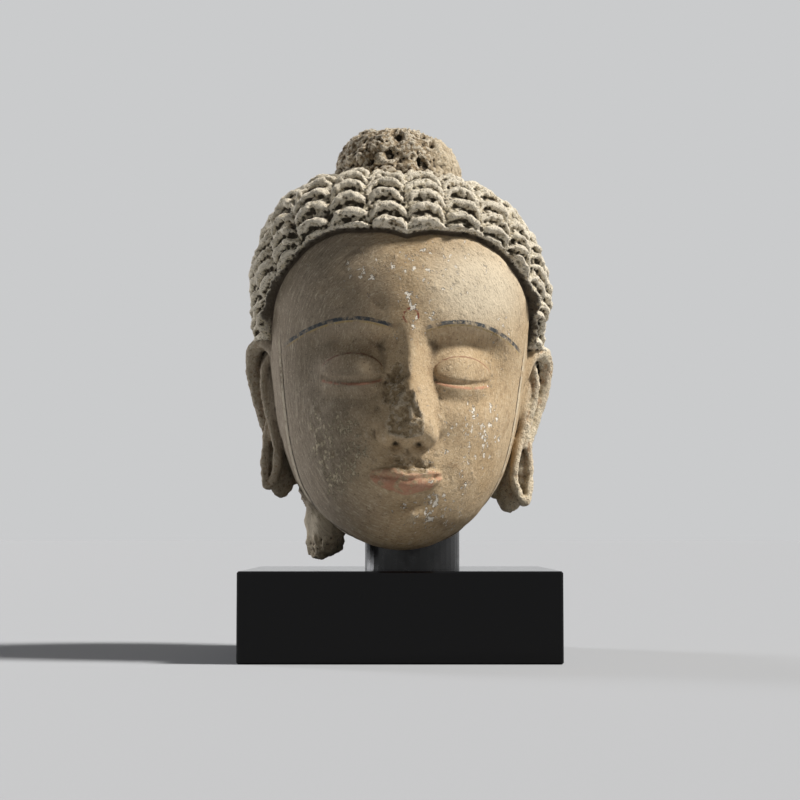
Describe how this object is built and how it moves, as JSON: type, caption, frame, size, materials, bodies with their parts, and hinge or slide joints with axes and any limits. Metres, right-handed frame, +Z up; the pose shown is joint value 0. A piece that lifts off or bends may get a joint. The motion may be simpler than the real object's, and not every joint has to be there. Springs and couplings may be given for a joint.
{
  "type": "stucco buddha head sculpture on a post",
  "caption": "Over life-size stucco head with waved hair, broken crown and long slit ears, set over a round steel post in a low black foot.",
  "frame": {"origin": "middle of the foot's underside", "axes": "+Z up; the face looks along -Y, turned a few degrees towards +X; +X is the viewer's right"},
  "size_m": [0.2913, 0.3092, 0.4908],
  "materials": {
    "stucco": null,
    "post_steel": "dark blued steel, satin, lightly scuffed",
    "black_lacquer": "black lacquer over wood, semi-gloss"
  },
  "bodies": {
    "root": {"head": "stucco", "post": "post_steel", "foot": "black_lacquer"}
  },
  "joints": []
}
